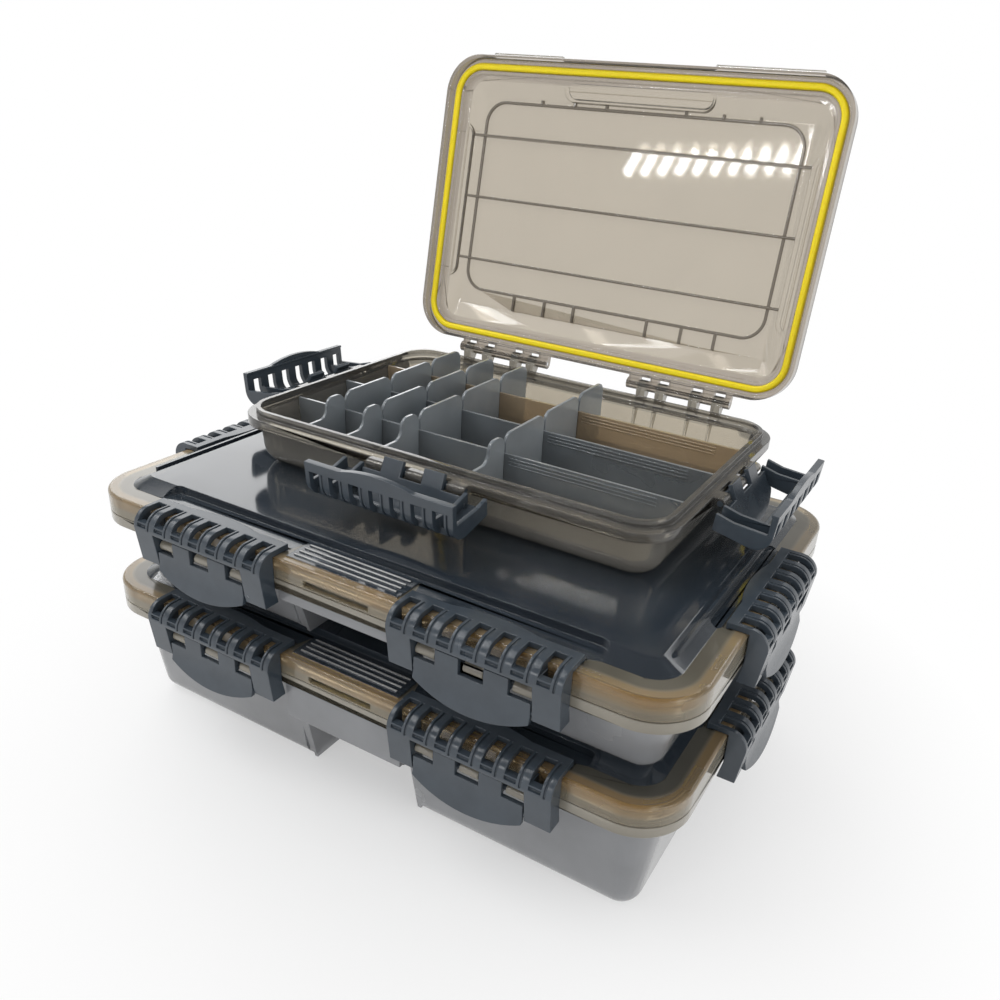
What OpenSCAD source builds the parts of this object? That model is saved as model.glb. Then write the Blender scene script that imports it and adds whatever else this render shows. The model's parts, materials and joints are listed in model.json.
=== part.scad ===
// Stack of three hinged, gasketed tackle boxes: a deep box, a shallow box on it and a small open box on top.
// Millimetres, +Z up. Origin at the centre of the deep box's base, length along X, front towards -Y.

/* [Large boxes] */
// Length of the two large boxes over their rims
large_l = 346; // [300:1:420]
// Width of the two large boxes over their rims
large_w = 222; // [190:1:280]
// Corner radius of the large rims
large_r = 27; // [24:0.5:40]
// Height of the deep box from its base to the top of its lid's rim
deep_h = 78.5; // [62:0.5:110]
// Height of the shallow box from its base to the top of its lid's rim
shallow_h = 50.5; // [42:0.5:70]
// How far a large tray's wall stands back from the rim under the bead
large_wall_in = 8.2; // [7:0.1:10]
// How far the large tray's wall would stand back at the base
large_base_in = 16.8; // [12:0.1:20]
// Radius between wall and base of the large trays
large_fillet = 10; // [6:0.5:12]
// Setback of the raised lid panel along the front of the large lids
large_front_setback = 23.5; // [20:0.5:30]
// Setback of the raised lid panel beside the end latches of the large lids
large_side_setback = 18; // [17:0.5:19]
// Half length of the front latch recess in the large lids
large_front_recess = 129; // [125:0.5:135]
// Half length of the end latch recesses in the large lids
large_side_recess = 46; // [45:0.5:60]
// Distance of the front latches and the hinges from the middle of the large boxes
large_latch_x = 80; // [78:0.5:84]

/* [Small box] */
// Length of the small box over its rim
small_l = 261; // [245:1:320]
// Width of the small box over its rim
small_w = 176.5; // [165:1:220]
// Corner radius of the small rim
small_r = 23; // [22.5:0.5:32]
// Height of the small box from its base to the top of its closed lid's rim
small_h = 41; // [36:0.5:60]
// How far the small tray's wall stands back from the rim under the bead
small_wall_in = 6.5; // [6:0.1:8]
// How far the small tray's wall would stand back at the base
small_base_in = 8.2; // [8:0.1:12]
// Radius between wall and base of the small tray
small_fillet = 12; // [6:0.5:12.5]
// Setback of the raised lid panel at the small box's front latch
small_front_setback = 20; // [18:0.5:24]
// Setback of the raised lid panel at the small box's end latches
small_side_setback = 16.5; // [16:0.5:20]
// Half length of the latch recesses in the small lid
small_recess = 47; // [45:0.5:52]
// Distance of the hinges from the middle of the small box
small_hinge_x = 63; // [60:0.5:75]
// Sideways place of the small box on the stack
small_dx = 1.7; // [-10:0.1:10]
// Place of the small box towards the back of the stack
small_dy = 41.3; // [20:0.5:45]
// Angle at which the small lid stands open
lid_open = 101; // [90:1:105]

/* [Rims] */
// Wall thickness of the trays and lids
wall = 2.2; // [1.8:0.1:2.6]
// Depth of the lid's skirt
skirt_h = 11; // [9.5:0.5:12]
// Thickness of the lid's skirt
skirt_t = 2.4; // [2:0.1:2.6]
// Gap between the lid's skirt and the tray's bead
seam = 0.4; // [0.3:0.1:0.8]
// Height of the tray's bead under the seam
bead_h = 5.6; // [5.4:0.1:7]
// Rise of the lid's raised panel over its rim
panel_rise = 4.5; // [3.5:0.5:6]
// Distance from the rim face to the foot of the panel's slope
slope_foot = 13; // [12.5:0.5:14]
// Level distance that the panel's slope takes
slope_run = 9.5; // [6:0.5:10]
// Rounding of the lid's outer edge
edge_round = 1.8; // [1:0.1:1.8]
// Width of the gasket
gasket_w = 4; // [3:0.1:4.2]
// Distance from the rim face to the gasket
gasket_in = 4; // [3.8:0.1:4.2]
// Height of the gasket
gasket_h = 5.2; // [4:0.1:5.3]
// Thickness of the tray's sealing lip
lip_t = 2.8; // [2.2:0.1:3]
// Depth of the sealing lip's top under the rim
lip_drop = 8; // [7.9:0.1:8.5]

/* [Latches] */
// Number of windows across a latch hook
cells = 7; // [5:1:7]
// Pitch of the windows
cell_pitch = 12.1; // [11.5:0.1:12.4]
// Width of a window
window_w = 6; // [5:0.1:6.5]
// Outer radius of the hook's shoulder
hook_r = 9; // [8.5:0.1:9.5]
// Thickness of the hook's shell
hook_t = 3; // [2.4:0.1:3.4]
// Depth of the hook's legs under the lid's rim
hook_drop = 25.2; // [24.5:0.1:27]
// Width of each leg of the hook
leg_w = 13.1; // [11:0.1:13.2]
// Reach of the hook over the lid at its ends
hook_reach = 10; // [9:0.1:10.5]
// Extra reach of the hook at its middle
hook_bow = 3; // [1:0.1:3.4]
// Half width of the lever
lever_half = 29.3; // [26:0.1:29.4]
// Thickness of the lever's plate
lever_t = 2.4; // [2:0.1:2.8]
// Depth of the crease across the lever
lever_crease = 23; // [22.5:0.1:24]
// Depth of the lever's lip at its ends
lever_end = 27; // [26:0.1:28]
// Depth of the lever's lip at its middle
lever_tip = 34; // [31:0.1:34.5]
// Radius of the rod that the lever turns on
rod_r = 1.6; // [1.2:0.1:1.8]
// Radius of the stubs that carry the hook
stub_r = 1.5; // [1.2:0.1:1.6]
// Radial clearance of rods and stubs in their bores
pivot_gap = 0.05; // [0.02:0.01:0.1]
// Width of the ears on the trays
ear_w = 10; // [8:0.1:10]
// Opening of the lever over the most turn of its rod
lever_open = 25; // [20:1:25]
// Turn of the hook for each degree of the lever
hook_ratio = 4.8; // [4:0.1:4.8]

/* [Hinges] */
// Distance of the hinge axis behind the rim's back face
hinge_out = 5.6; // [5.2:0.1:6]
// Depth of the hinge axis under the lid's rim
hinge_drop = 4.4; // [4:0.1:4.6]
// Radius of the hinge knuckles
knuckle_r = 3.4; // [3:0.1:3.6]
// Radius of the hinge pins
hinge_pin_r = 1.25; // [1:0.05:1.5]
// Gap between neighbouring knuckles
knuckle_gap = 0.3; // [0.2:0.05:0.5]

/* [Dividers] */
// Thickness of the dividers
div_t = 1.8; // [1.4:0.1:2.2]
// Gap round the dividers
div_gap = 0.3; // [0.2:0.05:0.5]
// Depth of the grooves that hold the cross dividers
groove_depth = 0.45; // [0.3:0.05:0.5]
// Height of the long dividers over the small box's base
wall_top = 29; // [24:0.5:30]
// Height of the cross dividers over the small box's base
paddle_top = 39.2; // [34:0.1:39.3]
// Rounding of the cross dividers' upper corners
paddle_round = 6; // [3:0.5:7]
// Length of the low shoulder of the front cross dividers
shoulder_l = 19; // [14:0.5:20]
// Drop of the low shoulder of the front cross dividers
shoulder_drop = 11; // [6:0.5:12]
// Distance between the long dividers
row_pitch = 42.5; // [38:0.5:50]

/* [Front pocket] */
// Half width of the finger pocket in the large trays' fronts
pocket_half = 34; // [30:0.5:34]
// Depth of the finger pocket from the rim's front face
pocket_depth = 70; // [50:1:80]
// Depth of the deep box's apron under its lid's rim
deep_apron = 38; // [30:0.5:42]
// Depth of the shallow box's apron under its lid's rim
shallow_apron = 23; // [21:0.5:25]
// Half width of the slot in the front of the lid's skirt
slot_half = 19.25; // [15:0.25:22]
// Height of the slot in the front of the lid's skirt
slot_h = 3.2; // [2.5:0.1:3.4]

/* [Hidden] */
$fn = 64;
EPS = 0.01;
lap = 0.5;
fillet_steps = 10;
// Places of the three boxes
shallow_z = deep_h + panel_rise;
small_z = shallow_z + shallow_h + panel_rise;
// Rim levels, measured down from the lid's rim top
bead_top = skirt_h + seam;
bead_bot = bead_top + bead_h;
rib_drop = 6;
channel_out = gasket_in - 0.3;
channel_in = gasket_in + gasket_w + 0.3;
channel_t = 2;
lip_in = gasket_in + (gasket_w - lip_t) / 2;
// Latch frame: x along the rim, y outwards from the rim face, z = 0 at the lid's rim top
rod_y = 4;
ear_r = 2.6;
rod_z = -bead_top - ear_r;
link_y = 6;
link_z = rod_z - 8;
hook_half = cells * cell_pitch / 2 + 0.85;
leg_in = hook_half - leg_w;
hook_lift = 0.3;
hook_cy = 1;
hook_cz = hook_lift + hook_t - hook_r;
lever_y = rod_y + 1.9;
ear_step = 24.5;
notch_w = ear_w + 2.5;
notch_z = -bead_bot + 0.4;
tab_z = -8.5;
cheek_t = 2.2;
catch_depth = 0.7;
catch_y = 11.5;
catch_w = 4.6;
web_r = 2.4;
boss_r = 2.2;
boss_w = 4.3;
lever_flare = 2.7;
// Small lid: stiffening ribs and frame ridge under its panel, and lift tabs as [start, length]
rib_t = 1.4;
rib_h = 3.5;
RIB_ROWS = [-row_pitch, -4.4, 35.3];
frame_l = small_l - 50.2;
frame_w = small_w - 56.6;
frame_r = 14;
frame_y = -4.3;
STUB_RIBS = [-64.8, -41.6, -19.8, 31.9, 55.1, 77];
stub_rib_h = 2.7;
TABS = [[-101.5, 49.3], [46.4, 61.8]];
// Large lids: stacking ridges and thumb pad
ridge_half = 79;
ridge_r = 0.8;
pad_l = 66;
pad_w = 17;
pad_ridge_pitch = 3.6;
pad_ridge_r = 0.9;
// Ridges along the long dividers' top edge, and gussets under the tray's hinge knuckles
grip_line = 0.35;
grip_pitch = 1.9;
gusset_t = 1.6;
gusset_h = 17;
// Hinge: knuckles from the outer end inwards as [start, width, on the tray]
KNUCKLES = [[-34, 8, false], [-25.7, 6, true], [-19.4, 6, false], [-13.1, 6, true],
    [-6.8, 15.4, false], [8.9, 6, true], [15.2, 8, false], [23.5, 6, true], [29.8, 4.2, false]];
hinge_half = 34;
// Cross dividers' places along the small box
COLS = [-87, -60.5, -35, 20];
// Boxes: [name, length, width, corner radius, height, x, y, z]
DEEP = ["deep", large_l, large_w, large_r, deep_h, 0, 0, 0];
SHALLOW = ["shallow", large_l, large_w, large_r, shallow_h, 0, 0, shallow_z];
SMALL = ["small", small_l, small_w, small_r, small_h, small_dx, small_dy, small_z];
// Latches: [box, place, side (0 front, 1 right, 2 left), offset along the side, open]
LATCHES = [
    [DEEP, "front_left", 0, -large_latch_x, false], [DEEP, "front_right", 0, large_latch_x, false],
    [DEEP, "right", 1, 0, false], [DEEP, "left", 2, 0, false],
    [SHALLOW, "front_left", 0, -large_latch_x, false], [SHALLOW, "front_right", 0, large_latch_x, false],
    [SHALLOW, "right", 1, 0, false], [SHALLOW, "left", 2, 0, false],
    [SMALL, "front", 0, 0, true], [SMALL, "right", 1, 0, true], [SMALL, "left", 2, 0, true]
];

// ---- Sweeps ----

// Carries a 2D profile (x = inset from the outer face, y = height) round a rounded rectangle
module rim_sweep(l, w, r) {
    for (a = [0, 180]) rotate([0, 0, a]) side_run(w / 2, l - 2 * r) children();
    for (a = [90, 270]) rotate([0, 0, a]) side_run(l / 2, w - 2 * r) children();
    for (q = [[1, 1, 0], [-1, 1, 90], [-1, -1, 180], [1, -1, 270]])
        translate([q[0] * (l / 2 - r), q[1] * (w / 2 - r), 0]) rotate([0, 0, q[2]])
            rotate_extrude(angle = 90) translate([r, 0]) mirror([1, 0]) children();
}

module side_run(out, len) {
    translate([0, -out, 0]) rotate([90, 0, 90]) linear_extrude(height = len, center = true) children();
}

// Fills the middle that a sweep with the box's corner radius leaves, lapped a little into it
module middle(b, h) {
    cube([b[1] - 2 * b[3] + 2 * lap, b[2] - 2 * b[3] + 2 * lap, h], center = true);
}

// Extrudes a 2D profile drawn in (y, z) along x from x0 to x1
module along_x(x0, x1) {
    translate([x0, 0, 0]) rotate([90, 0, 90]) linear_extrude(height = x1 - x0) children();
}

// Extrudes a 2D outline drawn in (x, z) along y from y0 to y1
module along_y(y0, y1) {
    translate([0, y1, 0]) rotate([90, 0, 0]) linear_extrude(height = y1 - y0) children();
}

module in_box(b) {
    translate([b[5], b[6], b[7]]) children();
}

// ---- Trays ----

// Insets of a box's tray: [under the bead, at the base, fillet]
function insets(b) = b[0] == "small" ? [small_wall_in, small_base_in, small_fillet]
    : [large_wall_in, large_base_in, large_fillet];

// Centre of the base fillet, tangent to the sloping wall and to the base
function fillet_r(b) = min(insets(b)[2], b[3] - insets(b)[1] - 1);
function wall_z(b) = b[4] - bead_top - wall;
function wall_len(b) = norm([wall_z(b), insets(b)[1] - insets(b)[0]]);
function fillet_u(b) = insets(b)[0] + (fillet_r(b) * wall_len(b)
    - (fillet_r(b) - wall_z(b)) * (insets(b)[1] - insets(b)[0])) / wall_z(b);
// Inward normal of the sloping wall
function wall_n(b) = [wall_z(b), insets(b)[1] - insets(b)[0]] / wall_len(b);

// The tray's inside, from depth d inside its outer face; closed towards the corner axis
module tray_inside_2d(b, d, top) {
    c = [fillet_u(b), fillet_r(b)];
    q = fillet_r(b) - d;
    u0 = insets(b)[0] + d * wall_len(b) / wall_z(b);
    polygon([[u0, wall_z(b)], c - q * wall_n(b), [c[0], d], [b[3], d], [b[3], top], [u0, top]]);
    translate(c) circle(r = q);
}

// Points of the base fillet's arc at radius q, from the sloping wall down to the base
function fillet_arc(b, q) = let (c = [fillet_u(b), fillet_r(b)], a = 180 + atan(wall_n(b)[1] / wall_n(b)[0]))
    [for (i = [0:fillet_steps]) let (t = a + (270 - a) * i / fillet_steps) c + q * [cos(t), sin(t)]];

// A tray's wall in section: sealing lip and bead, sloping wall, base fillet and the edge of the base
module tray_2d(b) {
    h = b[4];
    arc_in = fillet_arc(b, fillet_r(b) - wall);
    u_in = insets(b)[0] + wall * wall_len(b) / wall_z(b);
    polygon(concat([[lip_in, h - lip_drop], [lip_in, h - bead_top], [0, h - bead_top], [0, h - bead_bot],
        [wall, h - bead_bot], [wall, wall_z(b)], [insets(b)[0], wall_z(b)]], fillet_arc(b, fillet_r(b)),
        [[b[3], 0], [b[3], wall]], [for (i = [fillet_steps:-1:0]) arc_in[i]],
        [[u_in, wall_z(b)], [lip_in + lip_t, h - bead_top], [lip_in + lip_t, h - lip_drop]]));
}

module tray_shell(b) {
    rim_sweep(b[1], b[2], b[3]) tray_2d(b);
    translate([0, 0, wall / 2]) middle(b, wall);
}

// Outline of the finger pocket, round at its back corners
module pocket_2d(b, extra) {
    hw = pocket_half + extra;
    y1 = -b[2] / 2 + pocket_depth + extra;
    q = 6 + extra;
    translate([-hw, -b[2] / 2 - 1]) square([2 * hw, pocket_depth + extra + 1 - q]);
    translate([-hw + q, -b[2] / 2 - 1]) square([2 * (hw - q), pocket_depth + extra + 1]);
    for (s = [-1, 1]) translate([s * (hw - q), y1 - q]) circle(r = q);
}

// Ears that the lever's rod snaps into from below
module ears() {
    for (x = [-ear_step, 0, ear_step]) along_x(x - ear_w / 2, x + ear_w / 2) difference() {
        union() {
            translate([-0.6, rod_z - ear_r]) square([rod_y + 0.6, 2 * ear_r]);
            translate([rod_y, rod_z]) circle(r = ear_r);
        }
        translate([rod_y, rod_z]) circle(r = rod_r + pivot_gap);
        translate([rod_y - rod_r * 0.8, rod_z - 4]) square([rod_r * 1.6, 4]);
    }
}

module at_latch(t) {
    b = t[0];
    out = t[2] == 0 ? b[2] / 2 : b[1] / 2;
    in_box(b) rotate([0, 0, [0, 90, -90][t[2]]]) translate([t[3], -out, b[4]])
        rotate([0, 0, 180]) children();
}

// Hinge knuckles of the tray or of the lid, in a frame whose origin is on the hinge axis
module knuckles(on_tray, gap) {
    for (k = KNUCKLES) if (k[2] == on_tray) along_x(k[0] + gap / 2, k[0] + k[1] - gap / 2) children();
}

function hinge_x(b) = b[0] == "small" ? small_hinge_x : large_latch_x;

module hinge_frames(b) {
    for (s = [-1, 1]) translate([s * hinge_x(b), b[2] / 2 + hinge_out, b[4] - hinge_drop])
        mirror([s < 0 ? 1 : 0, 0, 0]) children();
}

module tray_knuckle_2d() {
    foot = -bead_bot + hinge_drop + 0.2;
    circle(r = knuckle_r);
    top = -bead_top + hinge_drop - 0.2;
    polygon([[-hinge_out - 0.6, top], [-hinge_out + 0.4, top], [-hinge_out + 0.4, -1],
        [-knuckle_r * cos(15), -knuckle_r * sin(15)], [0, 0], [knuckle_r, 0], [knuckle_r * 0.8, -4.5],
        [-hinge_out + 2, foot - 1.2], [-hinge_out - 0.6, foot]]);
}

module tray(b) {
    large = b[0] != "small";
    apron = b[0] == "deep" ? deep_apron : shallow_apron;
    roof = b[4] - apron;
    difference() {
        union() {
            tray_shell(b);
            if (large) intersection() {
                union() {
                    linear_extrude(height = roof + wall) pocket_2d(b, wall);
                    translate([-pocket_half - wall, -b[2] / 2 + 0.8, roof])
                        cube([2 * (pocket_half + wall), 20, apron - bead_bot + 0.5]);
                }
                translate([0, 0, b[4] / 2]) cube([b[1], b[2] - 1.6, b[4]], center = true);
            }
        }
        if (large) {
            translate([0, 0, -1]) linear_extrude(height = roof + 1) pocket_2d(b, 0);
            translate([-pocket_half, -b[2] / 2 + 0.8 + wall, roof + wall])
                cube([2 * pocket_half, 20, apron - bead_bot]);
            // the pocket's walls end where the tray's front wall stood
            pocket_front_trim(b, roof);
        }
    }
    for (t = LATCHES) if (t[0] == b) translate([-b[5], -b[6], -b[7]]) at_latch(t) ears();
    hinge_frames(b) {
        difference() {
            knuckles(true, knuckle_gap) tray_knuckle_2d();
            along_x(-hinge_half - 1, hinge_half + 1) circle(r = hinge_pin_r + pivot_gap);
        }
        for (k = KNUCKLES) if (k[2]) along_x(k[0] + k[1] / 2 - gusset_t / 2, k[0] + k[1] / 2 + gusset_t / 2)
            gusset_2d(b);
    }
}

// Gusset in the undercut of the bead, from the bead's lower face down the sloping wall
module gusset_2d(b) {
    z = hinge_drop - bead_bot + 0.3;
    y = -hinge_out - insets(b)[0] - wall / 2;
    y1 = y - (insets(b)[1] - insets(b)[0]) * gusset_h / wall_z(b);
    polygon([[-hinge_out - 1, z], [y, z], [y1, z - gusset_h], [y1 + 1.6, z - gusset_h]]);
}

// Takes the pocket's side walls away where they would stand out in front of the tray's wall
module pocket_front_trim(b, roof) {
    for (s = [-1, 1]) translate([s * (pocket_half + wall), 0, 0]) rotate([90, 0, 90])
        linear_extrude(height = 2 * wall + 1, center = true)
            polygon([[-b[2] / 2 - 1, -1], [-b[2] / 2 + insets(b)[1] + 2, -1],
                [-b[2] / 2 + insets(b)[0] + 2, roof - EPS], [-b[2] / 2 - 1, roof - EPS]]);
}

// ---- Lids ----

module lid_2d(b) {
    s0 = slope_foot;
    s1 = slope_foot + min(slope_run, b[3] - slope_foot - 0.5);
    p = panel_rise;
    polygon([[0, -skirt_h], [skirt_t, -skirt_h], [skirt_t, -rib_drop], [channel_out, -rib_drop],
        [channel_out, -skirt_t], [channel_in, -skirt_t], [channel_in, -rib_drop],
        [channel_in + channel_t, -rib_drop], [channel_in + channel_t, -wall], [s0 + 0.5, -wall],
        [s1 + 0.5, p - wall], [b[3], p - wall], [b[3], p], [s1, p], [s0, 0],
        [edge_round, 0], [0, -edge_round]]);
    translate([edge_round, -edge_round]) circle(r = edge_round);
}

// The solid under the lid's top face, which bounds what stands under it
module panel_under_2d(b) {
    s1 = slope_foot + min(slope_run, b[3] - slope_foot - 0.5);
    polygon([[channel_in, -wall], [channel_in, 0], [slope_foot, 0], [s1, panel_rise], [b[3], panel_rise],
        [b[3], -wall]]);
}

// Outline of a latch recess seen from above: u = distance in from the rim face
module recess_2d(half, set, extra) {
    q = 5 + extra;
    translate([-half - extra, 0]) square([2 * (half + extra), set + extra - q]);
    translate([-half - extra + q, 0]) square([2 * (half + extra - q), set + extra]);
    for (s = [-1, 1]) translate([s * (half + extra - q), set + extra - q]) circle(r = q);
}

module recesses(b, extra) {
    large = b[0] != "small";
    translate([0, -b[2] / 2]) recess_2d(large ? large_front_recess : small_recess,
        large ? large_front_setback : small_front_setback, extra);
    for (s = [-1, 1]) rotate([0, 0, s * 90]) translate([0, -b[1] / 2])
        recess_2d(large ? large_side_recess : small_recess,
            large ? large_side_setback : small_side_setback, extra);
}

module lid_knuckle_2d() {
    circle(r = knuckle_r);
    translate([-hinge_out - 0.6, 0]) square([hinge_out + 0.6, knuckle_r]);
}

// A lid in its box's frame, with its rim top at z = 0
module lid(b) {
    difference() {
        union() {
            rim_sweep(b[1], b[2], b[3]) lid_2d(b);
            translate([0, 0, panel_rise - wall / 2]) middle(b, wall);
            intersection() {
                union() {
                    rim_sweep(b[1], b[2], b[3]) panel_under_2d(b);
                    translate([0, 0, (panel_rise - wall) / 2]) middle(b, panel_rise + wall);
                }
                translate([0, 0, -wall]) linear_extrude(height = panel_rise + wall) recesses(b, wall);
            }
        }
        linear_extrude(height = panel_rise + 1) recesses(b, 0);
        // groove that the hooks' catches drop into
        for (t = LATCHES) if (t[0] == b) translate([-b[5], -b[6], -b[7] - b[4]]) at_latch(t)
            translate([-hook_half - 0.4, -catch_y, -catch_depth])
                cube([2 * hook_half + 0.8, catch_w, catch_depth + 1]);
        if (b[0] != "small") translate([-slot_half, -b[2] / 2 - 1, -slot_h - 6.8])
            cube([2 * slot_half, channel_out + 1.5, slot_h]);
    }
    translate([0, 0, -b[4]]) hinge_frames(b) difference() {
        knuckles(false, knuckle_gap) lid_knuckle_2d();
        along_x(-hinge_half - 1, hinge_half + 1) circle(r = hinge_pin_r + pivot_gap);
    }
    if (b[0] != "small") {
        stacking_ridges(b);
        grip_pad(b);
    } else {
        lid_ribs(b);
        lift_tabs(b);
    }
}

// Thin ridges that the base of the box above sits between
module stacking_ridges(b) {
    x = b[1] / 2 - large_side_setback - ridge_r;
    for (s = [-1, 1]) translate([s * x, 0, panel_rise - 3]) {
        translate([-ridge_r, -ridge_half, 0]) cube([2 * ridge_r, 2 * ridge_half, 3 + ridge_r]);
        for (e = [-1, 1]) translate([0, e * ridge_half, 0]) cylinder(h = 3 + ridge_r, r = ridge_r);
    }
}

// Ridged thumb pad between the front latches
module grip_pad(b) {
    translate([-pad_l / 2, -b[2] / 2 + 4, -0.5]) cube([pad_l, pad_w, 1.3]);
    for (i = [0:3]) translate([3 - pad_l / 2, -b[2] / 2 + 7.2 + i * pad_ridge_pitch, 0.7]) rotate([0, 90, 0])
        cylinder(h = pad_l - 6, r = pad_ridge_r);
}

// Stiffening ribs on the small lid's underside
module lid_ribs(b) {
    under = panel_rise - wall;
    x1 = b[1] / 2 - small_side_setback - wall;
    front = -b[2] / 2 + small_front_setback + wall - 0.1;
    back = b[2] / 2 - slope_foot - slope_run - 0.6;
    for (y = RIB_ROWS) translate([-x1, y - rib_t / 2, under - rib_h + 0.2]) cube([2 * x1, rib_t, rib_h]);
    translate([0, frame_y, 0]) rim_sweep(frame_l, frame_w, frame_r)
        translate([0, under - 1.5]) square([1.6, 1.7]);
    f0 = frame_y - frame_w / 2 + 0.8;
    f1 = frame_y + frame_w / 2 - 0.8;
    for (x = STUB_RIBS) translate([x - rib_t / 2, 0, under - stub_rib_h + 0.2]) {
        translate([0, f1, 0]) cube([rib_t, back - f1, stub_rib_h]);
        translate([0, front, 0]) cube([rib_t, f0 - front, stub_rib_h]);
    }
}

// Finger tabs along the small lid's front edge
module lift_tabs(b) {
    for (t = TABS) translate([t[0], -b[2] / 2 - 2.5, -5]) cube([t[1], 3.5, 3]);
}

module lid_place(b) {
    in_box(b) translate([0, 0, b[4]]) children();
}

// Turns the small box's lid up about its hinge axis
module swung(b, angle) {
    translate([0, b[2] / 2 + hinge_out, -hinge_drop]) rotate([-angle, 0, 0])
        translate([0, -b[2] / 2 - hinge_out, hinge_drop]) children();
}

module gasket_ring(b) {
    z = -skirt_t - gasket_h;
    u = gasket_in + gasket_w;
    rim_sweep(b[1], b[2], b[3])
        polygon([[gasket_in, -skirt_t], [gasket_in, z + 1], [gasket_in + 0.8, z], [u - 0.8, z], [u, z + 1],
            [u, -skirt_t]]);
}

module hinge_pin(b, s) {
    translate([s * hinge_x(b), b[2] / 2 + hinge_out, b[4] - hinge_drop]) rotate([0, 90, 0])
        cylinder(h = 2 * hinge_half - 0.6, r = hinge_pin_r, center = true);
}

// ---- Latches ----

// The shell's side view: flat over the lid, round at the shoulder, then down to z1
module hook_shell_2d(z1) {
    intersection() {
        difference() {
            translate([hook_cy, hook_cz]) circle(r = hook_r);
            translate([hook_cy, hook_cz]) circle(r = hook_r - hook_t);
        }
        translate([hook_cy, hook_cz]) square([hook_r + 1, hook_r + 1]);
    }
    translate([-hook_reach - hook_bow - 1, hook_lift]) square([hook_cy + hook_reach + hook_bow + 1, hook_t]);
    polygon(leg_quad(z1, hook_t));
}

// The front of a leg from the shoulder down to z1, t thick, leaning in towards its foot
function leg_lean(z) = (hook_cz - z) * 0.123;
function leg_quad(z1, t) = [[hook_cy + hook_r - t, hook_cz], [hook_cy + hook_r, hook_cz],
    [hook_cy + hook_r - leg_lean(z1), z1], [hook_cy + hook_r - t - leg_lean(z1), z1]];

// Side wall of a leg; its back edge clears the tray's bead as the hook swings
module cheek_2d() {
    intersection() {
        translate([hook_cy, hook_cz]) circle(r = hook_r);
        translate([0.6, hook_cz]) square([hook_r + 2, hook_r + 1]);
    }
    polygon([[0.6, hook_cz], [hook_cy + hook_r, hook_cz],
        [hook_cy + hook_r - leg_lean(-hook_drop), -hook_drop], [-1.2, -hook_drop], [0.6, -16]]);
}

// The hook seen from above, with its bowed catch edge
module hook_plan_2d() {
    half = 22;
    r = (half * half + hook_bow * hook_bow) / (2 * hook_bow);
    translate([-hook_half, -hook_reach]) square([2 * hook_half, 30]);
    intersection() {
        translate([0, -hook_reach - hook_bow + r]) circle(r = r, $fn = 128);
        translate([-half - 6, -hook_reach - hook_bow - 1]) square([2 * half + 12, hook_bow + 2]);
    }
}

module hook() {
    difference() {
        union() {
            intersection() {
                along_x(-hook_half, hook_half) hook_shell_2d(-7);
                translate([0, 0, -hook_drop - 1]) linear_extrude(height = hook_drop + 10) hook_plan_2d();
            }
            for (s = [-1, 1]) mirror([s < 0 ? 1 : 0, 0, 0]) {
                along_x(leg_in, hook_half) polygon(leg_quad(-hook_drop, hook_t));
                along_x(leg_in, leg_in + cheek_t) cheek_2d();
                along_x(hook_half - cheek_t, hook_half) cheek_2d();
            }
            translate([-hook_half, -hook_reach, -0.3]) cube([2 * hook_half, 1.4, 0.8]);
        }
        for (i = [0:cells - 1]) translate([(i - cells / 2) * cell_pitch, 0, 0]) cell_cuts();
        for (s = [-1, 1]) translate([s * (leg_in + cheek_t / 2), link_y, link_z]) rotate([0, 90, 0])
            cylinder(h = cheek_t + 2, r = stub_r + pivot_gap, center = true);
    }
}

// One window with the groove beside it and the shallow pad under it; x = 0 at the cell's left edge
module cell_cuts() {
    x0 = (cell_pitch - window_w) / 2 + 1.4;
    translate([x0, -5, -2]) cube([window_w, 20, 8]);
    groove(x0 - 2.3, 0.9, -5, 0.8);
    translate([x0, hook_cy + hook_r - 1.5, -4.6]) cube([window_w, 4, 2]);
}

// Shallow groove that follows the shell's outer face
module groove(x, w, y0, deep) {
    difference() {
        translate([x, y0, hook_cz]) cube([w, hook_cy + hook_r + 2 - y0, hook_r + 2]);
        along_x(x - 1, x + w + 1) {
            translate([hook_cy, hook_cz]) circle(r = hook_r - deep);
            translate([y0 - 1, hook_cz - 1]) square([hook_cy + 1 - y0, hook_r - deep + 1]);
        }
    }
}

module lever_outline_2d() {
    sag = lever_tip - lever_end;
    r = (lever_half * lever_half + sag * sag) / (2 * sag);
    difference() {
        intersection() {
            translate([-lever_half, -lever_tip]) square([2 * lever_half, lever_tip + tab_z]);
            translate([0, -lever_tip + r]) circle(r = r, $fn = 128);
        }
        for (x = [-ear_step, 0, ear_step])
            translate([x - notch_w / 2, notch_z]) square([notch_w + (x > 0 ? 5 : 0), 20]);
        translate([-lever_half - 1, notch_z]) square([lever_half - ear_step + 2, 20]);
    }
}

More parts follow.
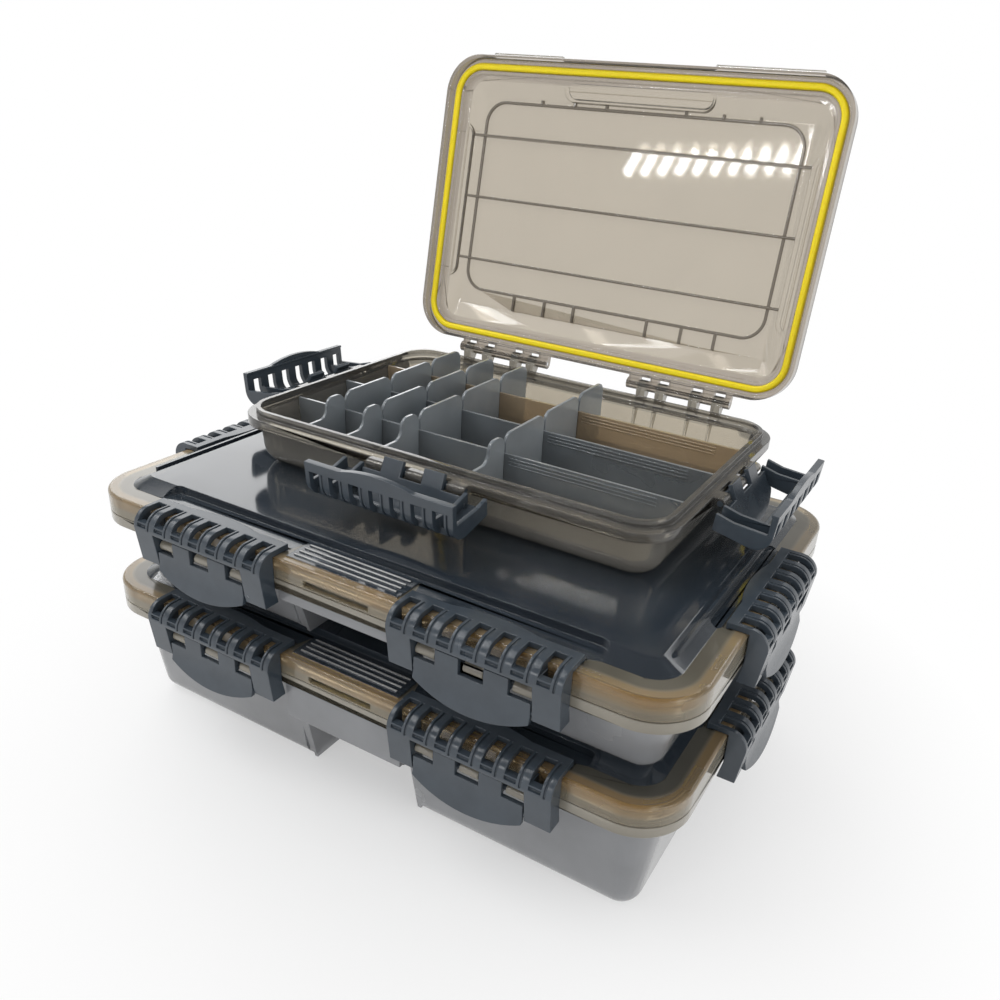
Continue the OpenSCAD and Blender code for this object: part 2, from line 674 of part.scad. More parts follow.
module lever() {
    intersection() {
        along_x(-lever_half, lever_half) polygon([[lever_y, tab_z], [lever_y + lever_t, tab_z],
            [lever_y + lever_t, -lever_crease], [lever_y + lever_t + lever_flare, -lever_tip],
            [lever_y + lever_flare, -lever_tip], [lever_y, -lever_crease]]);
        along_y(-1, 20) lever_outline_2d();
    }
    // rod through the ears, and the webs that carry it
    translate([0, rod_y, rod_z]) rotate([0, 90, 0]) cylinder(h = 2 * lever_half, r = rod_r, center = true);
    for (s = [-1, 1]) {
        along_x(s * ear_step / 2 - 5.5, s * ear_step / 2 + 5.5) {
            translate([rod_y, rod_z]) circle(r = web_r);
            translate([rod_y, rod_z - web_r]) square([lever_y - rod_y + 0.5, 2 * web_r]);
        }
        // end bosses with the stubs that the hook hangs on
        mirror([s < 0 ? 1 : 0, 0, 0]) {
            along_x(lever_half - boss_w, lever_half) translate([link_y, link_z]) circle(r = boss_r);
            translate([lever_half - 1, link_y, link_z]) rotate([0, 90, 0])
                cylinder(h = leg_in + cheek_t + 1.6 - lever_half, r = stub_r);
        }
    }
}

// Turns latch parts about the rod or about the hook's stubs; positive swings outwards at the bottom
module turned(y, z, angle) {
    translate([0, y, z]) rotate([angle, 0, 0]) translate([0, -y, -z]) children();
}

module lever_at(t) {
    at_latch(t) turned(rod_y, rod_z, t[4] ? lever_open : 0) lever();
}

module hook_at(t) {
    at_latch(t) turned(rod_y, rod_z, t[4] ? lever_open : 0)
        turned(link_y, link_z, t[4] ? -lever_open * hook_ratio : 0) hook();
}

// ---- Dividers ----

// Long divider across the small tray, shaped to its ends and grooved for the cross dividers
module long_divider(y) {
    for (i = [0:2]) translate([COLS[3] + 4, y - div_t / 2 - grip_line, wall_top - 2.4 - i * grip_pitch])
        cube([small_l / 2 - small_r - COLS[3] - 4, div_t + 2 * grip_line, grip_pitch * 0.4]);
    difference() {
        intersection() {
            along_y(y - div_t / 2, y + div_t / 2) {
                for (s = [-1, 1]) mirror([s < 0 ? 1 : 0, 0]) translate([-small_l / 2, 0])
                    tray_inside_2d(SMALL, wall + div_gap, wall_top);
                translate([-small_l / 2 + small_r, wall + div_gap])
                    square([small_l - 2 * small_r, wall_top - wall - div_gap]);
            }
            translate([0, y, wall_top / 2]) cube([small_l, 2 * div_t, wall_top], center = true);
        }
        for (x = COLS, s = [-1, 1]) translate([x, y + s * div_t / 2, wall_top / 2])
            cube([div_t + 2 * div_gap, 2 * groove_depth, wall_top + 2], center = true);
    }
}

// Side view of a cross divider between y0 and y1, with round upper corners
module paddle_2d(y0, y1) {
    z0 = wall + div_gap;
    q = paddle_round;
    translate([y0, z0]) square([y1 - y0, paddle_top - z0 - q]);
    translate([y0 + q, z0]) square([y1 - y0 - 2 * q, paddle_top - z0]);
    for (y = [y0 + q, y1 - q]) translate([y, paddle_top - q]) circle(r = q);
}

// Front cross divider: a low shoulder behind the rim, then an S up to full height
module front_paddle_2d(y0, y1) {
    z0 = wall + div_gap;
    low = paddle_top - shoulder_drop;
    q = shoulder_drop / 2;
    ys = y0 + shoulder_l;
    translate([y0, z0]) square([y1 - y0, low - z0]);
    translate([ys, z0]) square([y1 - ys, paddle_top - q - z0]);
    translate([ys + q, z0]) square([y1 - ys - q - paddle_round, paddle_top - z0]);
    translate([ys + q, z0]) square([y1 - ys - q, paddle_top - z0 - paddle_round]);
    translate([ys + q, paddle_top - q]) circle(r = q);
    translate([y1 - paddle_round, paddle_top - paddle_round]) circle(r = paddle_round);
    difference() {
        translate([ys - q, low - EPS]) square([q + EPS, q + EPS]);
        translate([ys - q, low + q]) circle(r = q);
    }
}

// Cross divider in row r (1 front to 4 back) and column c
module paddle(r, c) {
    y0 = -2 * row_pitch + (r - 1) * row_pitch;
    a = y0 + div_t / 2 - groove_depth + 0.2;
    e = y0 + row_pitch - div_t / 2 + groove_depth - 0.2;
    translate([COLS[c - 1] - div_t / 2, 0, 0]) rotate([90, 0, 90]) linear_extrude(height = div_t)
        if (r == 1 || r == 4) intersection() {
            translate([r == 1 ? -small_w / 2 : small_w / 2, 0]) mirror([r == 1 ? 0 : 1, 0]) {
                tray_inside_2d(SMALL, wall + div_gap, paddle_top);
                translate([small_r, wall + div_gap]) square([row_pitch, paddle_top - wall - div_gap]);
            }
            if (r == 1) front_paddle_2d(-small_w / 2 + 11, e);
            else paddle_2d(a, small_w / 2 - 13);
        }
        else paddle_2d(a, e);
}

// ---- Placed nodes ----

module placed_tray(b) {
    color("#8d8b86", 0.7) in_box(b) tray(b);
}

module placed_lid(b) {
    color("#7d786f", 0.7) lid_place(b) swung(b, b[0] == "small" ? lid_open : 0) lid(b);
}

module placed_gasket(b) {
    color("#f2cf2b") lid_place(b) swung(b, b[0] == "small" ? lid_open : 0) gasket_ring(b);
}

for (b = [DEEP, SHALLOW, SMALL]) {
    placed_tray(b);
    placed_lid(b);
    placed_gasket(b);
    color("#c4c6c8") in_box(b) hinge_pin(b, -1);
    color("#c4c6c8") in_box(b) hinge_pin(b, 1);
}
for (t = LATCHES) {
    color("#4a545c") lever_at(t);
    color("#414a52") hook_at(t);
}
for (i = [1:3])
    color("#6f757a") in_box(SMALL) long_divider((i - 2) * row_pitch);
for (r = [1:4], c = [1:4])
    color("#7b8288") in_box(SMALL) paddle(r, c);
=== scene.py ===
"""Looks for a stack of three latched tackle boxes: smoky moulded boxes, satin latches, a yellow gasket."""
import json
import math
from collections import namedtuple

import bmesh
import bpy
import numpy as np
from mathutils import Matrix, Quaternion, Vector


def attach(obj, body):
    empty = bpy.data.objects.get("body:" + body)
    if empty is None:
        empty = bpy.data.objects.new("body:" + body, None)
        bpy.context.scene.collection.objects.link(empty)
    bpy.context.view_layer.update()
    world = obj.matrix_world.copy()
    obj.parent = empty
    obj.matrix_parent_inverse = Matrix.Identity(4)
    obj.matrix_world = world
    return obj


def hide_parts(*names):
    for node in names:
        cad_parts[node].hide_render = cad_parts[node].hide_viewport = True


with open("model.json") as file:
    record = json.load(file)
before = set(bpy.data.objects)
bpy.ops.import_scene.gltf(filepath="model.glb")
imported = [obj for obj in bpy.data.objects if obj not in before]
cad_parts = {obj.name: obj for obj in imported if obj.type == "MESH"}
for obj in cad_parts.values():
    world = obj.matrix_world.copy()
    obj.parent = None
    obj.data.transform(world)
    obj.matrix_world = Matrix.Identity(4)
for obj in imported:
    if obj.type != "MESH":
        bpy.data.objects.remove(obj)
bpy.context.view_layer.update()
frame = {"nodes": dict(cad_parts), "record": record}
NODES = frame["nodes"]
BODY_OF = {n: body for body, names in frame["record"]["behaviour"]["bodies"].items() for n in names}
MM = 0.001

# ---- The boxes' places, as the CAD has them, in millimetres ----

# size and corner radius over the rim, its centre, and the levels of the lid's rim top and the tray's bead top
Rim = namedtuple("Rim", "length width radius x y top bead_top")
RIMS = {
    "deep": Rim(346, 222, 27, 0, 0, 78.5, 67.1),
    "shallow": Rim(346, 222, 27, 0, 0, 133.5, 122.1),
    "small": Rim(261, 176.5, 23, 1.7, 41.3, 179.0, 167.6),
}
HINGE_OUT, HINGE_DROP, LID_OPEN = 5.6, 4.4, math.radians(101)
BEAD_H = 5.6
CHANNEL_IN = 12.4  # the lid's flat rim, over the gasket channel, ends this far in
RIM_ABOVE = 0.6  # and lies no higher than this over its top's level
PAD_HALF, PAD_TOP, PAD_IN = 31, 1.4, 20  # thumb pad's ridges: half length, level of their feet, furthest in
RIB_IN, RIB_TOP = 14, 2.2  # the small lid's ribs stand further in and lower than this
RIB_TIPS = -1.5, 1.9  # levels between which their tips lie
SLACK = 0.3  # how far a face may lie past the border of its region

# ---- Limits for the moulded edges ----

MERGE = 0.03  # mm; the CAD's loose triangles are joined where their corners lie closer
FLAT = 0.6  # degrees; faces that meet at less are one flat
CREASE = 17  # degrees; an arc's facets meet at less, and every real edge at more
EDGE_SHARE = 0.45  # share of the shortest edge beside it that an edge radius may take
TIP_SHARE = 0.22  # the same where that edge runs nearly in line
IN_LINE = 0.35  # sine of the angle below which two edges run nearly in line
FLATS_FIRST = 80  # weight of the large faces in the normals; 50 would count them all alike


# ---- Materials ----

def linear(hex_colour):
    """sRGB hex to linear: each channel is c / 12.92 below 0.04045, else ((c + 0.055) / 1.055) to the
    power 2.4."""
    c = np.array([int(hex_colour[i : i + 2], 16) for i in (1, 3, 5)]) / 255
    return (*np.where(c <= 0.04045, c / 12.92, ((c + 0.055) / 1.055) ** 2.4).tolist(), 1.0)


def add(tree, kind, settings=None, out=None, **wires):
    """Adds a node with its settings and links. wires names inputs, with _ for a space or i and a number, and
    gives each a value or an output to link. Returns the output named out, or the first one in use."""
    node = tree.nodes.new(kind)
    for key, value in (settings or {}).items():
        setattr(node, key, value)
    for key, value in wires.items():
        if key[0] == "i" and key[1:].isdigit():
            socket = node.inputs[int(key[1:])]
        else:
            socket = next(s for s in node.inputs if s.enabled and s.name == key.replace("_", " "))
        if isinstance(value, bpy.types.NodeSocket):
            tree.links.new(value, socket)
        else:
            socket.default_value = value
    return node.outputs[out] if out else next((s for s in node.outputs if s.enabled), None)


def new_material(name):
    """An empty node material and its tree, with Object coordinates in millimetres."""
    m = bpy.data.materials.new(name)
    m.use_nodes = True
    tree = m.node_tree
    tree.nodes.clear()
    place = add(tree, "ShaderNodeTexCoord", out="Object")
    return m, tree, add(tree, "ShaderNodeVectorMath", {"operation": "SCALE"}, Vector=place, Scale=1 / MM)


def clear_plastic(name, passed, haze, body, rough, edge, haze_at_edge, skin=0.004, ior=1.4, tint=None):
    """Smoky polypropylene, injection moulded and left clear: it passes a tinted view, adds a faint milky
    haze, and turns denser and creamier where the wall is seen edge on. passed is what one face lets through,
    haze the share of light it scatters itself, body and edge the colours of that light, and skin the depth in
    mm of the tool's faint ripple. The melt's flow marks are 38 mm wide, and the ripple 2.4 mm. tint may add
    nodes that change the body and passed colours by place."""
    m, tree, mm = new_material(name)
    flow = add(tree, "ShaderNodeTexNoise", Vector=mm, Scale=1 / 38, Detail=3.0, Roughness=0.55)
    ripple = add(tree, "ShaderNodeTexNoise", Vector=mm, Scale=1 / 2.4, Detail=2.0)
    facing = add(tree, "ShaderNodeLayerWeight", out="Facing", Blend=0.35)
    inner, clear = linear(body), linear(passed)
    if tint:
        inner, clear = tint(tree, mm, flow, inner, clear)
    colour = add(tree, "ShaderNodeMix", {"data_type": "RGBA"}, Factor=facing, A=inner, B=linear(edge))
    share = add(tree, "ShaderNodeMapRange", Value=facing, To_Min=haze, To_Max=haze_at_edge)
    cloudy = add(tree, "ShaderNodeMapRange", Value=flow, From_Min=0.3, From_Max=0.7, To_Min=0.9, To_Max=1.1)
    share = add(tree, "ShaderNodeMath", {"operation": "MULTIPLY", "use_clamp": True}, i0=share, i1=cloudy)
    worn = add(tree, "ShaderNodeMapRange", Value=flow, From_Min=0.3, From_Max=0.7,
               To_Min=rough * 0.8, To_Max=rough * 1.25)
    grain = add(tree, "ShaderNodeBump", Strength=0.35, Distance=skin * MM, Height=ripple)
    solid = add(tree, "ShaderNodeBsdfPrincipled", Base_Color=colour, Roughness=worn, IOR=1.49, Normal=grain)
    through = add(tree, "ShaderNodeBsdfTransparent", Color=clear)
    mix = add(tree, "ShaderNodeMixShader", i0=share, i1=through, i2=solid)
    # the clear share has no gloss of its own, so the moulded skin's is laid over the whole
    skin_gloss = add(tree, "ShaderNodeBsdfAnisotropic", Roughness=worn, Normal=grain)
    mix = add(tree, "ShaderNodeMixShader", i0=add(tree, "ShaderNodeFresnel", IOR=ior, Normal=grain),
              i1=mix, i2=skin_gloss)
    add(tree, "ShaderNodeOutputMaterial", Surface=mix)
    return m


# the amber is a painted glow: the cord's light scattered through the milky rim, painted into the rim's colour
# mm; in each pair the colour is whole up to the first distance and gone at the second
PAINTED_GLOW_IN = 4.5, 6.5  # the amber, in from the rim's outer face
PAINTED_GLOW_DOWN = 4.4, 7.6  # the amber, down from the rim's top
CREAM_IN = 5.0, 7.5  # the rim's own colours, in from its outer face; then come the dark lid's


def painted_cord_glow(box):
    """The yellow cord's light, scattered through the milky rim, is painted into the rim's colour as an amber
    band along its outer and upper part: a painted glow. Further in the rim shows the dark lid's colours. The
    distance in from the rim's outer face is the corner radius less the distance from the rectangle that the
    corner centres span."""
    rim = RIMS[box]

    def tint(tree, mm, flow, body, passed):
        off = add(tree, "ShaderNodeVectorMath", {"operation": "SUBTRACT"}, i0=mm, i1=(rim.x, rim.y, rim.top))
        aside = add(tree, "ShaderNodeVectorMath", {"operation": "ABSOLUTE"}, i0=off)
        # the third number is larger than any height, so only the distance seen from above is left
        aside = add(tree, "ShaderNodeVectorMath", {"operation": "SUBTRACT"}, i0=aside,
                    i1=(rim.length / 2 - rim.radius, rim.width / 2 - rim.radius, 1000))
        past = add(tree, "ShaderNodeVectorMath", {"operation": "MAXIMUM"}, i0=aside, i1=(0, 0, 0))
        past = add(tree, "ShaderNodeVectorMath", {"operation": "LENGTH"}, out="Value", i0=past)
        near_cord = add(tree, "ShaderNodeMapRange", {"interpolation_type": "SMOOTHSTEP"}, Value=past,
                        From_Min=rim.radius - PAINTED_GLOW_IN[1], From_Max=rim.radius - PAINTED_GLOW_IN[0])
        level = add(tree, "ShaderNodeSeparateXYZ", out="Z", Vector=off)
        under = add(tree, "ShaderNodeMapRange", {"interpolation_type": "SMOOTHSTEP"}, Value=level,
                    From_Min=-PAINTED_GLOW_DOWN[1], From_Max=-PAINTED_GLOW_DOWN[0])
        uneven = add(tree, "ShaderNodeMapRange", Value=flow, From_Min=0.3, From_Max=0.7,
                     To_Min=0.35, To_Max=0.8)
        # painted amber glow, standing in for the cord's light seen through the rim
        painted_glow = add(tree, "ShaderNodeMath", {"operation": "MULTIPLY"}, i0=near_cord, i1=under)
        painted_glow = add(tree, "ShaderNodeMath", {"operation": "MULTIPLY"}, i0=painted_glow, i1=uneven)
        body = add(tree, "ShaderNodeMix", {"data_type": "RGBA"}, Factor=painted_glow, A=body, B=linear("#b5873f"))
        outer = add(tree, "ShaderNodeMapRange", {"interpolation_type": "SMOOTHSTEP"}, Value=past,
                    From_Min=rim.radius - CREAM_IN[1], From_Max=rim.radius - CREAM_IN[0])
        dark_body, dark_passed = linear("#2e343a"), linear("#60666c")
        return (add(tree, "ShaderNodeMix", {"data_type": "RGBA"}, Factor=outer, A=dark_body, B=body),
                add(tree, "ShaderNodeMix", {"data_type": "RGBA"}, Factor=outer, A=dark_passed, B=passed))
    return tint


def latch_abs(name, colour, worn_colour, rough):
    """Slate ABS, injection moulded in a satin tool: even colour, a little lighter where hands rub it, in
    patches of 17 mm. The tool's grain is drawn 0.45 mm wide, coarser than real, so that it shows."""
    m, tree, mm = new_material(name)
    blotch = add(tree, "ShaderNodeTexNoise", Vector=mm, Scale=1 / 17, Detail=4.0, Roughness=0.6)
    skin = add(tree, "ShaderNodeTexNoise", Vector=mm, Scale=1 / 0.45, Detail=2.0)
    rub = add(tree, "ShaderNodeMapRange", Value=blotch, From_Min=0.3, From_Max=0.75, To_Max=0.4)
    base = add(tree, "ShaderNodeMix", {"data_type": "RGBA"}, Factor=rub,
               A=linear(colour), B=linear(worn_colour))
    gloss = add(tree, "ShaderNodeMapRange", Value=blotch, From_Min=0.3, From_Max=0.7,
                To_Min=rough * 0.85, To_Max=rough * 1.15)
    grain = add(tree, "ShaderNodeBump", Strength=0.5, Distance=0.02 * MM, Height=skin)
    shader = add(tree, "ShaderNodeBsdfPrincipled", Base_Color=base, Roughness=gloss, IOR=1.54, Normal=grain)
    add(tree, "ShaderNodeOutputMaterial", Surface=shader)
    return m


def gasket_silicone():
    """Yellow silicone cord: bright and slightly waxy. Its dust-holding skin is drawn 1.2 mm coarse, so that
    it shows."""
    m, tree, mm = new_material("yellow_silicone")
    skin = add(tree, "ShaderNodeTexNoise", Vector=mm, Scale=1 / 1.2, Detail=3.0)
    patch = add(tree, "ShaderNodeMapRange", Value=skin, From_Min=0.3, From_Max=0.7)
    base = add(tree, "ShaderNodeMix", {"data_type": "RGBA"}, Factor=patch,
               A=linear("#ffea1c"), B=linear("#ffe012"))
    grain = add(tree, "ShaderNodeBump", Strength=0.4, Distance=0.03 * MM, Height=skin)
    shader = add(tree, "ShaderNodeBsdfPrincipled", Base_Color=base, Roughness=0.38, IOR=1.42, Normal=grain,
                 Subsurface_Weight=0.15, Subsurface_Radius=(1.0, 0.8, 0.2), Subsurface_Scale=0.002)
    add(tree, "ShaderNodeOutputMaterial", Surface=shader)
    return m


def drawn_steel():
    """Bright drawn steel wire: fine lines run along the pin. They are 20 mm long, and drawn 0.45 mm wide, so
    that they show."""
    m, tree, mm = new_material("drawn_steel")
    along = add(tree, "ShaderNodeMapping", Vector=mm, Scale=(0.05, 2.2, 2.2))
    lines = add(tree, "ShaderNodeTexNoise", Vector=along, Scale=1.0, Detail=3.0)
    gloss = add(tree, "ShaderNodeMapRange", Value=lines, From_Min=0.3, From_Max=0.7, To_Min=0.18, To_Max=0.36)
    grain = add(tree, "ShaderNodeBump", Strength=0.4, Distance=0.02 * MM, Height=lines)
    shader = add(tree, "ShaderNodeBsdfPrincipled", Base_Color=linear("#c9cbcd"), Roughness=gloss,
                 Normal=grain, Metallic=1.0)
    add(tree, "ShaderNodeOutputMaterial", Surface=shader)
    return m


# each finish: its name, what a face lets through, haze, body colour, roughness, edge colour, haze at the edge
SMOKE = {
    "open_lid": clear_plastic(
        "smoky_polypropylene_open_lid", "#e4dfd6", 0.15, "#b9b0a2", 0.035, "#a39a8c", 0.4, skin=0.001),
    "open_lid_rib": clear_plastic(
        "smoky_polypropylene_rib", "#958d82", 0.5, "#6a6359", 0.12, "#524c44", 0.8),
    "open_rim": clear_plastic(
        "smoky_polypropylene_open_rim", "#e0dad2", 0.22, "#9c948a", 0.1, "#7d766d", 0.5),
    "open_tab": clear_plastic(
        "smoky_polypropylene_tab", "#fbfaf8", 0.05, "#cfc9bf", 0.07, "#b9b2a7", 0.25),
    "small_wall": clear_plastic(
        "smoky_polypropylene_small_tray", "#ece6da", 0.25, "#b8b5ae", 0.07, "#b4afa4", 0.6),
    "small_bead": clear_plastic(
        "smoky_polypropylene_small_bead", "#dcd8cf", 0.32, "#6a6865", 0.08, "#8b8984", 0.65),
    "large_panel": clear_plastic(
        "smoky_polypropylene_closed_lid", "#a2a7ac", 0.42, "#37404a", 0.08, "#525c66", 0.7, ior=1.5),
    # the ridges' pale body and near-white edge are a painted highlight along the thumb pad's crests
    "pad_ridge_painted_highlight": clear_plastic(
        "smoky_polypropylene_ridge_painted_highlight", "#dcdcda", 0.55, "#b9bab9", 0.12, "#f2f1ee", 0.9),
    "large_wall": clear_plastic(
        "milky_polypropylene_wall", "#c9cacc", 0.6, "#95989d", 0.22, "#a8a8a8", 0.85),
    "large_bead": clear_plastic(
        "milky_polypropylene_bead", "#d6d2ca", 0.45, "#a8a294", 0.18, "#cdc6b6", 0.85),
}
for box in ("deep", "shallow"):
    # the large rims carry the painted amber glow of the cord beneath them
    SMOKE[box + "_rim"] = clear_plastic(
        "smoky_polypropylene_%s_rim" % box, "#e0d6c2", 0.36, "#968c78", 0.12, "#c9bfa6", 0.75,
        tint=painted_cord_glow(box))
# the long walls' slate is painted darker than the cross paddles': the slate's own colour with painted shade
# for walls standing in shadow
divider_wall_painted_shade = clear_plastic(
    "slate_long_divider_painted_shade", "#c3c8cb", 0.42, "#848a8f", 0.12, "#c9cfd3", 0.75)
# one long wall is painted tan: painted light, standing in for light from behind the tray's back wall passing
# through it
divider_painted_backlight = clear_plastic(
    "long_divider_painted_backlight", "#d8cbb8", 0.4, "#bba78b", 0.12, "#cfc2ae", 0.75)
divider_paddle = clear_plastic(
    "slate_polypropylene_cross_divider", "#c8ced2", 0.36, "#a3acb3", 0.13, "#dde3e7", 0.85)
latch_plastic = latch_abs("slate_abs", "#363e46", "#49535d", 0.24)
gasket = gasket_silicone()
steel = drawn_steel()


# ---- Which face takes which finish ----

def inset(points, rim):
    """Distance in from the rim's outer face, seen from above: the corner radius less the distance from the
    rectangle that the corner centres span. Inside that rectangle its nearest side counts, as less than 0."""
    q = np.abs(points[:, :2] - (rim.x, rim.y)) - (rim.length / 2 - rim.radius, rim.width / 2 - rim.radius)
    return rim.radius - (np.linalg.norm(np.maximum(q, 0), axis=1) + np.minimum(q.max(axis=1), 0))


def turned_back(vectors, y0=0.0, z0=0.0):
    """The open small lid's points or normals turned back about the line y0, z0 to where they lie when closed:
    a rotation about X by the opening angle."""
    y, z = vectors[:, 1] - y0, vectors[:, 2] - z0
    c, s = math.cos(LID_OPEN), math.sin(LID_OPEN)
    return np.column_stack([vectors[:, 0], y0 + y * c - z * s, z0 + y * s + z * c])


def face_values(mesh, what):
    """The centre or the normal of each face, a row each."""
    values = np.empty(len(mesh.polygons) * 3)
    mesh.polygons.foreach_get(what, values)
    return values.reshape(-1, 3)


def region_faces(node, mesh):
    """The node's finishes, and which of them each face takes: rims and beads are creamier than panels and
    walls, the small lid's ribs are darker and its tabs clearer, and the thumb pad's ridges are painted pale,
    a painted highlight along their crests."""
    box, kind = node.split("_")
    rim = RIMS[box]
    at = face_values(mesh, "center") / MM
    if kind == "tray":
        parts = ["large_wall", "large_bead"] if box != "small" else ["small_wall", "small_bead"]
        return parts, (at[:, 2] > rim.bead_top - BEAD_H - SLACK).astype(int)
    if box == "small":
        at = turned_back(at, rim.y + rim.width / 2 + HINGE_OUT, rim.top - HINGE_DROP)
        faces_up = turned_back(face_values(mesh, "normal"))[:, 2]
        above, within = at[:, 2] - rim.top, inset(at, rim)
        upright = np.abs(faces_up) < 0.3
        tips = (faces_up < -0.95) & (above > RIB_TIPS[0]) & (above < RIB_TIPS[1])
        ribs = (within > RIB_IN) & (above < RIB_TOP) & (upright | tips)
        tabs = (within < -SLACK) & (at[:, 1] < rim.y)
        return (["open_lid", "open_rim", "open_lid_rib", "open_tab"],
                np.where(within < CHANNEL_IN, np.where(tabs, 3, 1), np.where(ribs, 2, 0)))
    above, within = at[:, 2] - rim.top, inset(at, rim)
    on_rim = (within < CHANNEL_IN) & (above < RIM_ABOVE)
    # the ridge faces take the pale finish: a painted highlight
    pad_ridge_highlight_mask = (at[:, 1] < 0) & (np.abs(at[:, 0]) < PAD_HALF) & (above > PAD_TOP) & (within < PAD_IN)
    return ["large_panel", box + "_rim", "pad_ridge_painted_highlight"], np.where(pad_ridge_highlight_mask, 2, np.where(on_rim, 1, 0))


def plain_material(node):
    """The material of a node that has only one."""
    if node.endswith("_gasket"):
        return gasket
    if "_hinge_pin_" in node:
        return steel
    if "_lever_" in node or "_hook_" in node:
        return latch_plastic
    if node.startswith("wall_"):
        # wall_3 takes the tan of painted backlight, the others the slate
        return divider_painted_backlight if node == "wall_3" else divider_wall_painted_shade
    return divider_paddle


# ---- Edges of the moulded pieces ----

def edge_weights(mesh, width, creased):
    """How much of the edge radius each creased edge takes: all of it, or EDGE_SHARE of the shortest edge that
    meets either of its ends where that is less. Where it runs nearly in line with a flush edge of a face, or
    meets any edge in a thin tip, it takes no more than TIP_SHARE of that edge's length times the sine of
    their angle, else its bevel would end far outside."""
    points = np.empty(len(mesh.vertices) * 3)
    mesh.vertices.foreach_get("co", points)
    points = points.reshape(-1, 3)
    ends = np.empty(len(mesh.edges) * 2, int)
    mesh.edges.foreach_get("vertices", ends)
    ends = ends.reshape(-1, 2)
    lengths = np.linalg.norm(points[ends[:, 0]] - points[ends[:, 1]], axis=1)
    shortest = np.full(len(points), np.inf)
    np.minimum.at(shortest, ends[:, 0], lengths)
    np.minimum.at(shortest, ends[:, 1], lengths)
    weights = np.minimum(1.0, EDGE_SHARE * shortest[ends].min(axis=1) / width) * creased

    # each face corner has the edge that comes in to it and the edge that goes out from it
    corner, out = np.empty(len(mesh.loops), int), np.empty(len(mesh.loops), int)
    mesh.loops.foreach_get("vertex_index", corner)
    mesh.loops.foreach_get("edge_index", out)
    start, total = np.empty(len(mesh.polygons), int), np.empty(len(mesh.polygons), int)
    mesh.polygons.foreach_get("loop_start", start)
    mesh.polygons.foreach_get("loop_total", total)
    before, after = np.arange(len(corner)) - 1, np.arange(len(corner)) + 1
    before[start], after[start + total - 1] = start + total - 1, start
    came = out[before]
    comes, goes = points[corner] - points[corner[before]], points[corner[after]] - points[corner]
    sine = np.linalg.norm(np.cross(comes, goes), axis=1) / (lengths[came] * lengths[out])
    thin_tip = (comes * goes).sum(axis=1) < 0
    for this, other in ((came, out), (out, came)):
        close = (sine < IN_LINE) & creased[this] & (~creased[other] | thin_tip)
        np.minimum.at(weights, this[close], TIP_SHARE * (lengths[other] * sine)[close] / width)
    return weights


def softened(node, width_mm, segments=2):
    """Adds a merged copy of a CAD node with a moulded edge radius; it stands for the node."""
    source = NODES[node].data
    finishes, part_of = [plain_material(node)], np.zeros(len(source.polygons), int)
    if node.endswith(("_tray", "_lid")):
        parts, part_of = region_faces(node, source)
        finishes = [SMOKE[part] for part in parts]
    bm = bmesh.new()
    bm.from_mesh(source)
    for face, part in zip(bm.faces, part_of.tolist()):
        face.smooth = True
        face.material_index = part
    bmesh.ops.remove_doubles(bm, verts=bm.verts, dist=MERGE * MM)
    bmesh.ops.dissolve_limit(bm, angle_limit=math.radians(FLAT), verts=bm.verts, edges=bm.edges,
                             delimit={"MATERIAL"})
    sharpest_arc = math.radians(CREASE)
    creased = np.array([len(e.link_faces) == 2 and e.calc_face_angle() > sharpest_arc for e in bm.edges])
    mesh = bpy.data.meshes.new(node + "_moulded")
    bm.to_mesh(mesh)
    bm.free()
    piece = bpy.data.objects.new(node + "_moulded", mesh)
    bpy.context.scene.collection.objects.link(piece)
    for finish in finishes:
        mesh.materials.append(finish)
    weights = mesh.attributes.new("bevel_weight_edge", "FLOAT", "EDGE")
    weights.data.foreach_set("value", edge_weights(mesh, width_mm * MM, creased))
    bevel = piece.modifiers.new("edge_radius", "BEVEL")
    bevel.width = width_mm * MM
    bevel.segments = segments
    bevel.limit_method = "WEIGHT"
    bevel.use_clamp_overlap = False
    # large faces keep their own normals, so flats mirror as flats
    flats = piece.modifiers.new("flats", "WEIGHTED_NORMAL")
    flats.mode = "FACE_AREA"
    flats.weight = FLATS_FIRST
    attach(piece, BODY_OF[node])
    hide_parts(node)


# each piece's edge radius in mm; the pins keep their CAD mesh
for name, obj in NODES.items():
    if name.endswith(("_tray", "_lid")):
        softened(name, 0.4)
    elif "_lever_" in name or "_hook_" in name:
        softened(name, 0.35)
    elif name.startswith(("wall_", "paddle_")):
        softened(name, 0.3)
    elif name.endswith("_gasket"):
        softened(name, 1.0, segments=3)
    else:
        for s in obj.material_slots:
            s.material = plain_material(name)


# ---- Floor, light and camera ----

def surround():
    """A white background, which glossy and clear faces show up to about 12 degrees over the horizon; a dimmer
    ceiling closes it there, and it lights the rest evenly."""
    world = bpy.data.worlds.new("surround")
    bpy.context.scene.world = world
    world.use_nodes = True
    tree = world.node_tree
    tree.nodes.clear()
    mirrored = add(tree, "ShaderNodeMath", {"operation": "MAXIMUM"},
                   i0=add(tree, "ShaderNodeLightPath", out="Is Glossy Ray"),
                   i1=add(tree, "ShaderNodeLightPath", out="Is Transmission Ray"))
    height = add(tree, "ShaderNodeSeparateXYZ", out="Z",
                 Vector=add(tree, "ShaderNodeTexCoord", out="Generated"))
    sky = add(tree, "ShaderNodeMapRange", Value=height, From_Min=0.2, From_Max=0.62, To_Min=1.0, To_Max=0.25)
    strength = add(tree, "ShaderNodeMix", Factor=mirrored, A=0.6, B=sky)
    strength = add(tree, "ShaderNodeMix", Factor=add(tree, "ShaderNodeLightPath", out="Is Camera Ray"),
                   A=strength, B=1.0)
    back = add(tree, "ShaderNodeBackground", Color=(1, 1, 1, 1), Strength=strength)
    add(tree, "ShaderNodeOutputWorld", Surface=back)


